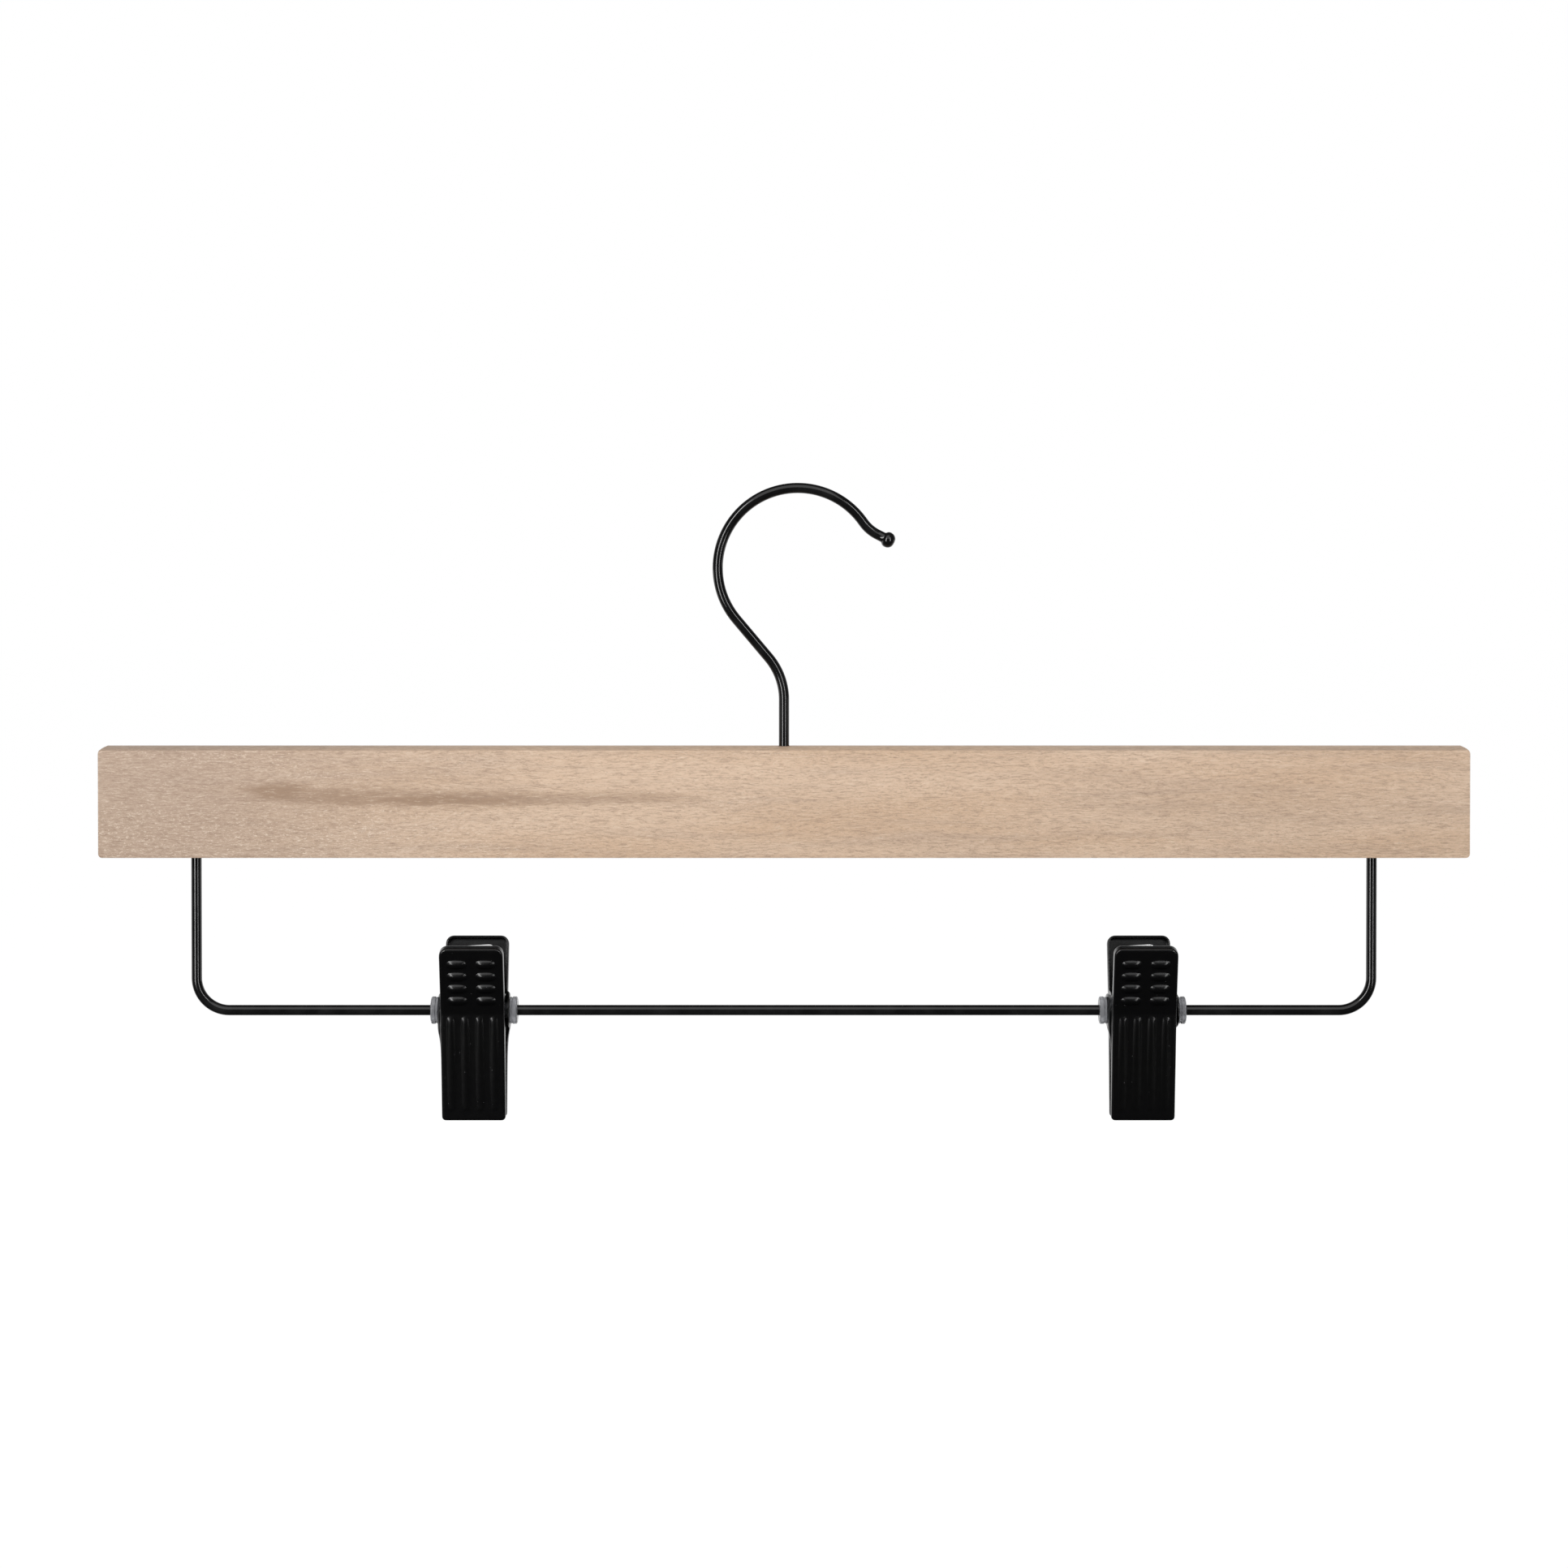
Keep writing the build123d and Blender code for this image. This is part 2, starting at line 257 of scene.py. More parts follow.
@dataclass(frozen=True)
class Pattern:
    """A noise pattern: patches per metre along each axis, its detail, its roughness and its shift."""

    scale: Triple
    detail: float = 2.0
    rough: float = 0.5
    shift: Triple = (0, 0, 0)

    @classmethod
    def even(cls, scale: float, detail: float = 2.0, rough: float = 0.5) -> "Pattern":
        """A pattern that is equally fine along each axis."""
        return cls((scale, scale, scale), detail, rough)


class NodeSheet:
    """A material or a surround under way, with short ways to add and wire its nodes."""

    def __init__(self, name: str, surround: bool = False) -> None:
        """Start an empty sheet.

        Args:
            name: The name of the material or the surround.
            surround: True for the surround, where a place is a direction.
        """
        self.owner = (bpy.data.worlds if surround else bpy.data.materials).new(name)
        self.owner.use_nodes = True
        self.tree = self.owner.node_tree
        self.tree.nodes.clear()
        self.place = self.add("ShaderNodeTexCoord").outputs["Generated" if surround else "Object"]

    def add(self, kind: str, inputs: dict | None = None, **settings: object) -> bpy.types.Node:
        """Add a node.

        Args:
            kind: Blender's name of the node.
            inputs: Values, colours or sockets by the names or numbers of the node's inputs.
            settings: The node's own settings.

        Returns:
            The node.
        """
        made = self.tree.nodes.new(kind)
        for key, value in settings.items():
            setattr(made, key, value)
        for key, value in (inputs or {}).items():
            socket = made.inputs[key]
            if isinstance(value, bpy.types.NodeSocket):
                self.tree.links.new(value, socket)
            else:
                socket.default_value = (*value, 1.0) if socket.type == "RGBA" else value
        return made

    def stretched(self, scale: Triple, shift: Triple = (0, 0, 0)) -> bpy.types.NodeSocket:
        """The place moved by a shift and multiplied by a scale for each axis."""
        inputs = {"Vector": self.place, "Location": shift, "Scale": scale}
        return self.add("ShaderNodeMapping", inputs).outputs["Vector"]

    def noise(self, pattern: Pattern) -> bpy.types.NodeSocket:
        """A pattern's value, from 0 to 1."""
        inputs = {
            "Vector": self.stretched(pattern.scale, pattern.shift),
            "Scale": 1.0,
            "Detail": pattern.detail,
            "Roughness": pattern.rough,
        }
        return self.add("ShaderNodeTexNoise", inputs).outputs["Fac"]

    def waver(self, waves: Pattern, depth: float) -> None:
        """Let the place wander up and down, so that what is drawn after it is wavy.

        Args:
            waves: The pattern that the place follows, which strays about a quarter from its middle.
            depth: How far it wanders, in millimetres.
        """
        lift = self.sums("MULTIPLY", self.sums("SUBTRACT", self.noise(waves), 0.5), 4 * depth * MM)
        step = self.add("ShaderNodeCombineXYZ", {"Y": lift, "Z": lift}).outputs["Vector"]
        moved = self.add("ShaderNodeVectorMath", {0: self.place, 1: step}, operation="ADD")
        self.place = moved.outputs["Vector"]

    def between(
        self, value: bpy.types.NodeSocket, low: float, high: float, to: object = 1.0, start: float = 0.0
    ) -> bpy.types.NodeSocket:
        """A value's run from low to high as a smooth step from a start to a limit."""
        inputs = {"Value": value, "From Min": low, "From Max": high, "To Min": start, "To Max": to}
        return self.add("ShaderNodeMapRange", inputs, interpolation_type="SMOOTHSTEP").outputs["Result"]

    def sums(self, how: str, *values: object) -> bpy.types.NodeSocket:
        """One sum of two or three numbers or sockets."""
        return self.add("ShaderNodeMath", dict(enumerate(values)), operation=how).outputs["Value"]

    def sheen(self, patches: bpy.types.NodeSocket, roughness: float, swing: float) -> bpy.types.NodeSocket:
        """A roughness that swings about its middle value with a pattern."""
        return self.sums("MULTIPLY_ADD", patches, swing, roughness - swing / 2)

    def mix(self, share: object, first: object, second: object) -> bpy.types.NodeSocket:
        """Blend two colours by the share of the second one."""
        return self.add("ShaderNodeMix", {0: share, 6: first, 7: second}, data_type="RGBA").outputs[2]

    def bump(self, height: bpy.types.NodeSocket, depth: float, strength: float = 1.0) -> bpy.types.NodeSocket:
        """A bump of a depth in millimetres from a height between 0 and 1."""
        inputs = {"Height": height, "Distance": depth * MM, "Strength": strength}
        return self.add("ShaderNodeBump", inputs).outputs["Normal"]

    def finished(self, **inputs: object) -> bpy.types.Material:
        """Close the material with a shader, its inputs named with a low line for each space."""
        named = {key.replace("_", " "): value for key, value in inputs.items()}
        shader = self.add("ShaderNodeBsdfPrincipled", named)
        self.add("ShaderNodeOutputMaterial", {"Surface": shader.outputs["BSDF"]})
        return self.owner


@dataclass(frozen=True)
class LacqueredWire:
    """Black semi-gloss lacquer on drawn steel wire."""

    colour: Colour = (0.005, 0.005, 0.0052)
    worn: Colour = (0.012, 0.012, 0.0122)
    roughness: float = 0.11
    swing: float = 0.08
    gloss: float = 0.62
    cloud: Pattern = Pattern.even(160, 3.0)
    grain: Pattern = Pattern.even(420)

    def build(self, name: str) -> bpy.types.Material:
        """Build the lacquer, a little uneven in tone and sheen."""
        sheet = NodeSheet(name)
        cloud = sheet.noise(self.cloud)
        return sheet.finished(
            Base_Color=sheet.mix(sheet.between(cloud, 0.35, 0.75), self.colour, self.worn),
            Roughness=sheet.sheen(cloud, self.roughness, self.swing),
            Specular_IOR_Level=self.gloss,
            Normal=sheet.bump(sheet.noise(self.grain), 0.004),
        )


@dataclass(frozen=True)
class ClipEnamel:
    """Deep gloss black enamel on pressed steel, with a few specks of dust under it."""

    colour: Colour = (0.001, 0.001, 0.0012)
    speck: Colour = (0.12, 0.12, 0.12)
    roughness: float = 0.25
    swing: float = 0.08
    gloss: float = 0.6
    peel: Pattern = Pattern.even(620)
    dust: Pattern = Pattern.even(2100, 1.0, 0.4)

    def build(self, name: str) -> bpy.types.Material:
        """Build the enamel."""
        sheet = NodeSheet(name)
        peel = sheet.noise(self.peel)
        return sheet.finished(
            Base_Color=sheet.mix(sheet.between(sheet.noise(self.dust), 0.79, 0.83), self.colour, self.speck),
            Roughness=sheet.sheen(peel, self.roughness, self.swing),
            Specular_IOR_Level=self.gloss,
            Normal=sheet.bump(peel, 0.008),
        )


@dataclass(frozen=True)
class PaleWood:
    """Fine wavy-grained pale wood with limed flecks and one dark streak, under a matt clear coat."""

    light: Colour = (0.68, 0.5, 0.36)
    warm: Colour = (0.62, 0.435, 0.295)
    cool: Colour = (0.465, 0.34, 0.255)
    pore: Colour = (0.33, 0.225, 0.16)
    lime: Colour = (0.8, 0.67, 0.54)
    streak: Colour = (0.3, 0.185, 0.11)
    roughness: float = 0.5
    gloss: float = 0.4
    relief: float = 0.035
    relief_strength: float = 0.6
    sway: Pattern = Pattern((22, 50, 80))
    sway_depth: float = 1.0
    curl: Pattern = Pattern((380, 600, 700))
    curl_depth: float = 0.2
    cloud: Pattern = Pattern((9, 40, 70), 3.0)
    figure: Pattern = Pattern((14, 160, 260), 4.0, 0.6)
    fibre: Pattern = Pattern((270, 1900, 2300), 5.0, 0.72)
    fuzz: Pattern = Pattern((800, 2300, 2600), 4.0, 0.75, (3, 1, 2))
    limed: Pattern = Pattern((35, 60, 120), shift=(5, 3, 1))
    ragged: Pattern = Pattern((60, 200, 420), 3.0)
    raggedness: float = 1.3
    # Each patch of the streak: its place along and up the bar, its length, height and darkness
    streaks: tuple[tuple[float, float, float, float, float], ...] = (
        (-160, -91.3, 13, 4.4, 0.74), (-139, -93.1, 32, 3.6, 0.6), (-106, -94.0, 36, 3.2, 0.8),
        (-70, -93.1, 44, 2.6, 0.44), (150, -96.0, 60, 9.0, 0.18),
    )
    streak_y: float = -6.25
    streak_depth: float = 11.0

    def build(self, name: str) -> bpy.types.Material:
        """Build the wood, its grain along the bar."""
        sheet = NodeSheet(name)
        end_shade, lime = self.end_shade(sheet), self.lime_mask(sheet)
        sheet.waver(self.sway, self.sway_depth)
        dark = self.streak_mask(sheet)
        cloud, figure = sheet.noise(self.cloud), sheet.noise(self.figure)
        sheet.waver(self.curl, self.curl_depth)
        fibre, fuzz = sheet.noise(self.fibre), sheet.noise(self.fuzz)
        flecks = sheet.between(fuzz, 0.54, 0.66)
        clear = sheet.sums("MULTIPLY", lime, sheet.sums("SUBTRACT", 0.8, dark))
        tone = self.light
        # Each coat of tone from the ground up: how much it covers, and its colour
        for share, colour in (
            (sheet.between(cloud, 0.38, 0.68), self.warm),
            (sheet.between(figure, 0.42, 0.75, 0.5), self.cool),
            (end_shade, self.cool),
            (dark, self.streak),
            (sheet.between(fibre, 0.47, 0.66, 0.58), self.pore),
            (sheet.between(fibre, 0.47, 0.32, 0.36), self.lime),
            (sheet.sums("MULTIPLY", flecks, clear), self.lime),
            (sheet.between(fuzz, 0.45, 0.33, 0.5), self.pore),
        ):
            tone = sheet.mix(share, tone, colour)
        height = sheet.sums("SUBTRACT", sheet.between(fuzz, 0.3, 0.7), sheet.between(fibre, 0.45, 0.7))
        return sheet.finished(
            Base_Color=tone,
            Roughness=self.roughness,
            Specular_IOR_Level=self.gloss,
            Normal=sheet.bump(height, self.relief, self.relief_strength),
        )

    def end_shade(self, sheet: NodeSheet) -> bpy.types.NodeSocket:
        """How much greyer the left end is."""
        along = sheet.add("ShaderNodeSeparateXYZ", {"Vector": sheet.place}).outputs["X"]
        return sheet.between(along, -0.07, -0.2, 0.9)

    def streak_mask(self, sheet: NodeSheet) -> bpy.types.NodeSocket:
        """Where the dark streak runs, as a chain of long soft patches left of the middle."""
        edge = sheet.sums("SUBTRACT", sheet.noise(self.ragged), 0.5)
        edge = sheet.sums("MULTIPLY", edge, self.raggedness)
        mask = 0.0
        for x, z, length, height, depth in self.streaks:
            scale = (1 / (length * MM), 1 / (self.streak_depth * MM), 1 / (height * MM))
            spot = sheet.stretched(scale, (-x / length, -self.streak_y / self.streak_depth, -z / height))
            reach = sheet.add("ShaderNodeVectorMath", {0: spot}, operation="LENGTH").outputs["Value"]
            patch = sheet.between(sheet.sums("ADD", reach, edge), 1.15, 0.3, depth)
            mask = sheet.sums("MAXIMUM", patch, mask)
        return mask

    def lime_mask(self, sheet: NodeSheet) -> bpy.types.NodeSocket:
        """How much pale flecks show: most at the left end, and more towards its lower edge."""
        parts = sheet.add("ShaderNodeSeparateXYZ", {"Vector": sheet.place}).outputs
        left = sheet.between(parts["X"], -0.04, -0.17)
        low = sheet.between(parts["Z"], -0.088, -0.104)
        patches = sheet.between(sheet.noise(self.limed), 0.5, 0.68, 0.35)
        near = sheet.sums("MULTIPLY", left, sheet.sums("ADD", low, 0.5))
        return sheet.sums("ADD", sheet.sums("MULTIPLY", near, 0.5), sheet.sums("ADD", patches, 0.15))


@dataclass(frozen=True)
class ClearPlastic:
    """Clear moulded plastic with a faint grey cast."""

    tint: Colour = (0.47, 0.475, 0.5)
    roughness: float = 0.25
    bending: float = 1.46
    clearness: float = 0.65
    flow: Pattern = Pattern.even(500)

    def build(self, name: str) -> bpy.types.Material:
        """Build the plastic."""
        sheet = NodeSheet(name)
        return sheet.finished(
            Base_Color=self.tint,
            Roughness=self.roughness,
            IOR=self.bending,
            Transmission_Weight=self.clearness,
            Normal=sheet.bump(sheet.noise(self.flow), 0.008),
        )


@dataclass(frozen=True)
class PlatedMetal:
    """Bright metal whose sheen and surface follow one pattern."""

    colour: Colour
    roughness: float
    pattern: Pattern
    relief: float
    swing: float = 0.2

    def build(self, name: str) -> bpy.types.Material:
        """Build the metal."""
        sheet = NodeSheet(name)
        pattern = sheet.noise(self.pattern)
        return sheet.finished(
            Base_Color=self.colour,
            Metallic=1.0,
            Roughness=sheet.sheen(pattern, self.roughness, self.swing),
            Normal=sheet.bump(pattern, self.relief),
        )


@dataclass(frozen=True)
class BrightStrip(PlatedMetal):
    """Bright nickel-plated spring strip with scratches along it."""

    colour: Colour = (0.6, 0.6, 0.6)
    roughness: float = 0.24
    pattern: Pattern = Pattern((4200, 260, 260), 3.0, 0.6)
    relief: float = 0.008


@dataclass(frozen=True)
class ZincPlate(PlatedMetal):
    """Dull bright zinc on the washer and nut under the bar."""

    colour: Colour = (0.62, 0.62, 0.6)
    roughness: float = 0.32
    pattern: Pattern = Pattern.even(700, 3.0)
    relief: float = 0.01


@dataclass(frozen=True)
class PadRubber:
    """Matt black rubber of the jaw pads."""

    colour: Colour = (0.022, 0.022, 0.022)
    bloom: Colour = (0.045, 0.045, 0.044)
    roughness: float = 0.72
    cloud: Pattern = Pattern.even(240, 4.0)
    grain: Pattern = Pattern.even(2600)

    def build(self, name: str) -> bpy.types.Material:
        """Build the rubber, with a faint bloom."""
        sheet = NodeSheet(name)
        return sheet.finished(
            Base_Color=sheet.mix(sheet.between(sheet.noise(self.cloud), 0.4, 0.8), self.colour, self.bloom),
            Roughness=self.roughness,
            Normal=sheet.bump(sheet.noise(self.grain), 0.03),
        )


def dress(piece: bpy.types.Object, material: bpy.types.Material, body: str, slot: str, *nodes: str) -> None:
    """Give a finished piece its material, its body and the nodes it stands for.

    Args:
        piece: The finished piece, at the origin.
        material: Its only material.
        body: The body that it rides on.
        slot: The record's material slot; not used.
        nodes: The nodes that it replaces.
    """
    piece.data.materials.clear()
    piece.data.materials.append(material)
    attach(piece, body)
    if nodes:
        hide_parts(*nodes)
    LOG.info("%s rides on %s with %d faces", piece.name, body, len(piece.data.polygons))


class WireTrace:
    """A round wire drawn with one ring, pulled along each run and spun round each bend."""

    SMOOTH_ANGLE = 42

    def __init__(self, name: str, start: Vector, rise: float, radius: float, sides: int = 32) -> None:
        """Lay the first ring flat.

        Args:
            name: The piece's name.
            start: The ring's centre, in millimetres.
            rise: 1 if the wire sets off upwards and -1 if it sets off downwards.
            radius: The wire's radius in millimetres.
            sides: How many sides the ring has.
        """
        self.piece = start_piece(
            name, bpy.ops.mesh.primitive_circle_add,
            vertices=sides, radius=radius * MM, fill_type="NOTHING", location=start * MM,
        )
        edit(self.piece)
        bpy.ops.mesh.select_all(action="SELECT")
        self.at = start.copy()
        self.heading = Vector((0, 0, rise))
        self.radius = radius

    def run(self, length: float) -> None:
        """Pull the ring straight on."""
        push(self.heading * length * MM)
        self.at += self.heading * length

    def bend(self, radius: float, angle: float, steps: int) -> None:
        """Spin the ring round a bend.

        Args:
            radius: The bend's radius on the wire's centre line, in millimetres.
            angle: Degrees, positive to the left of the heading as seen from the front.
            steps: How many pieces the bend has.
        """
        hand = 1 if angle > 0 else -1
        left = Vector((-self.heading.z, 0, self.heading.x))
        centre = self.at + left * radius * hand
        bpy.ops.mesh.spin(steps=steps, angle=-radians(angle), center=centre * MM, axis=(0, -1, 0))
        turn = Matrix.Rotation(-radians(angle), 3, "Y")
        self.at = centre + turn @ (self.at - centre)
        self.heading = turn @ self.heading

    def swell(self, advance: float, radius: float) -> None:
        """Pull the ring on and change its radius, both in millimetres."""
        self.run(advance)
        share = radius / self.radius
        bpy.ops.transform.resize(value=(share, share, share), center_override=self.at * MM)
        self.radius = radius

    def closed(self) -> bpy.types.Object:
        """Cap both ends and return the finished wire."""
        bpy.ops.mesh.select_all(action="SELECT")
        bpy.ops.mesh.fill_holes(sides=0)
        face_outwards(self.piece)
        smooth(self.piece, self.SMOOTH_ANGLE)
        return self.piece


@dataclass
class SwivelHook:
    """The wire hook that turns in the bar, in millimetres about the rail seat."""

    wire_r: float = WIRE_R
    inner_r: float = 23.0
    shank_x: float = SHANK_X
    shank_end: float = -111.1
    thread_r: float = 1.5
    thread_top: float = -107.3
    thread_pitch: float = 0.5
    neck_z: float = -56.2
    neck_bend_r: float = 20.0
    throat_angle: float = 35.0
    tip_bend_r: float = 12.0
    tip_drop: float = 27.0
    tip_length: float = 2.0
    # Radius of the thread's grooves and of the wire's end, as shares of the thread's
    thread_share: float = 0.9
    lead_share: float = 0.75
    lead_length: float = 0.25
    shoulder: float = 0.05
    # Steps of the neck, the crown and the tip's bend
    bend_steps: tuple[int, int, int] = (14, 60, 10)
    # Each ring of the upset head: how far on it lies, and its radius
    head: tuple[Pair, ...] = (
        (0.25, 1.8), (0.3, 2.12), (0.35, 2.33), (0.45, 2.44), (0.5, 2.44),
        (0.55, 2.33), (0.5, 2.08), (0.42, 1.68), (0.3, 1.18), (0.12, 0.55),
    )

    def build(self, lacquer: bpy.types.Material) -> None:
        """Draw the hook from its threaded end to its upset tip."""
        crown_r = self.inner_r + self.wire_r
        reach = Vector((-self.shank_x, 0, -self.inner_r - self.neck_z))
        neck = degrees(asin(crown_r / reach.length)) - degrees(atan2(reach.x, reach.z))
        tangent = self.neck_bend_r * tan(radians(neck / 2))
        straight = (reach.length**2 - crown_r**2) ** 0.5 - tangent
        neck_steps, crown_steps, tip_steps = self.bend_steps
        start = Vector((self.shank_x, 0, self.shank_end))
        wire = WireTrace("hook_wire", start, 1, self.thread_r * self.lead_share)
        wire.swell(self.lead_length, self.thread_r)
        while wire.at.z < self.thread_top - self.thread_pitch:
            wire.swell(self.thread_pitch / 2, self.thread_r * self.thread_share)
            wire.swell(self.thread_pitch / 2, self.thread_r)
        wire.swell(self.thread_top - wire.at.z, self.thread_r)
        wire.swell(self.shoulder, self.wire_r)
        wire.run(self.neck_z - tangent - wire.at.z)
        wire.bend(self.neck_bend_r, neck, neck_steps)
        wire.run(straight)
        wire.bend(crown_r, self.throat_angle - neck - 180, crown_steps)
        wire.bend(self.tip_bend_r, 90 - self.throat_angle - self.tip_drop, tip_steps)
        wire.run(self.tip_length)
        for advance, radius in self.head:
            wire.swell(advance, radius)
        dress(wire.closed(), lacquer, "hook", "black_wire", "swivel_hook")


@dataclass
class WireBar:
    """The wire under the bar that the clips slide on, in millimetres."""

    wire_r: float = WIRE_R
    leg_x: Pair = LEG_X
    leg_top: float = -95.6
    low_z: float = WIRE_Z
    bend_r: float = 10.0
    bend_steps: int = 18

    def build(self, lacquer: bpy.types.Material) -> None:
        """Draw the wire from the top of its left leg to the top of its right leg."""
        leg = self.leg_top - self.low_z - self.bend_r
        left_x, right_x = self.leg_x
        wire = WireTrace("clip_wire", Vector((left_x, 0, self.leg_top)), -1, self.wire_r)
        wire.run(leg)
        wire.bend(self.bend_r, 90, self.bend_steps)
        wire.run(right_x - left_x - 2 * self.bend_r)
        wire.bend(self.bend_r, 90, self.bend_steps)
        wire.run(leg)
        dress(wire.closed(), lacquer, "hanger_bar", "black_wire", "wire_bar")


@dataclass
class WoodenBar:
    """The planed wooden bar with its eased edges, in millimetres."""

    left_x: float = -214.2
    right_x: float = 205.8
    top_z: float = -77.8
    bottom_z: float = -111.6
    depth: float = 12.5
    crown: float = 1.0
    planings: int = 5
    top_corner: float = 2.0
    bottom_corner: float = 1.2
    arris: float = 0.4
    shank_x: float = SHANK_X
    shank_hole_r: float = 1.7
    washer_hole_r: float = 5.4
    washer_hole_top: float = -107.15
    leg_hole_r: float = 1.65
    leg_hole_top: float = -95.3
    leg_x: Pair = LEG_X
    corner_steps: int = 8
    arris_steps: int = 3
    ease_angle: float = 50
    smooth_angle: float = 35
    hole_sides: int = 40
    overrun: float = 4.0

    def build(self, wood: bpy.types.Material) -> None:
        """Plane, ease and drill the bar."""
        piece = self.block()
        self.plane_crown(piece)
        ease_edges(piece, self.arris, self.arris_steps, self.ease_angle)
        self.drill(piece)
        face_outwards(piece)
        smooth(piece, self.smooth_angle)
        dress(piece, wood, "hanger_bar", "pale_wood", "wooden_bar")

    def block(self) -> bpy.types.Object:
        """Saw the block and round its four corners as seen from the front."""
        size = mm(self.right_x - self.left_x, self.depth, self.top_z - self.bottom_z)
        centre = mm((self.left_x + self.right_x) / 2, 0, (self.top_z + self.bottom_z) / 2)
        piece = start_piece("planed_bar", bpy.ops.mesh.primitive_cube_add, size, size=1, location=centre)
        edit(piece)
        for z, radius in ((self.top_z, self.top_corner), (self.bottom_z, self.bottom_corner)):
            choose(Select.EDGES, lambda e: abs(middle(e).z - z * MM) < NEAR
                   and abs(e.verts[0].co.y - e.verts[1].co.y) > MM)
            bpy.ops.mesh.bevel(offset=radius * MM, segments=self.corner_steps, affect="EDGES")
        clear_selection()
        return piece

    def plane_crown(self, piece: bpy.types.Object) -> None:
        """Plane the top down to a shallow arch from front to back."""
        half = self.depth / 2
        radius = (half**2 + self.crown**2) / (2 * self.crown)
        spread = degrees(asin(half / radius))
        edit(piece)
        for step in range(-self.planings, self.planings):
            angle = radians(spread * (step + 0.5) / self.planings)
            normal = Vector((0, sin(angle), cos(angle)))
            bpy.ops.mesh.select_all(action="SELECT")
            spot = mm(0, 0, self.top_z - radius) + normal * radius * MM
            bpy.ops.mesh.bisect(plane_co=spot, plane_no=normal, clear_outer=True)
            choose(Select.EDGES, lambda e: e.is_boundary)
            bpy.ops.mesh.edge_face_add()
        clear_selection()

    def drill(self, piece: bpy.types.Object) -> None:
        """Drill the hook's bore, the sunk hole for its nut and the two holes of the wire."""
        low = self.bottom_z - self.overrun
        holes = [
            (self.shank_x, self.shank_hole_r, self.top_z + self.overrun),
            (self.shank_x, self.washer_hole_r, self.washer_hole_top),
            *((x, self.leg_hole_r, self.leg_hole_top) for x in self.leg_x),
        ]
        for x, radius, high in holes:
            bore(piece, mm(x, 0, (low + high) / 2), radius, high - low, self.hole_sides)


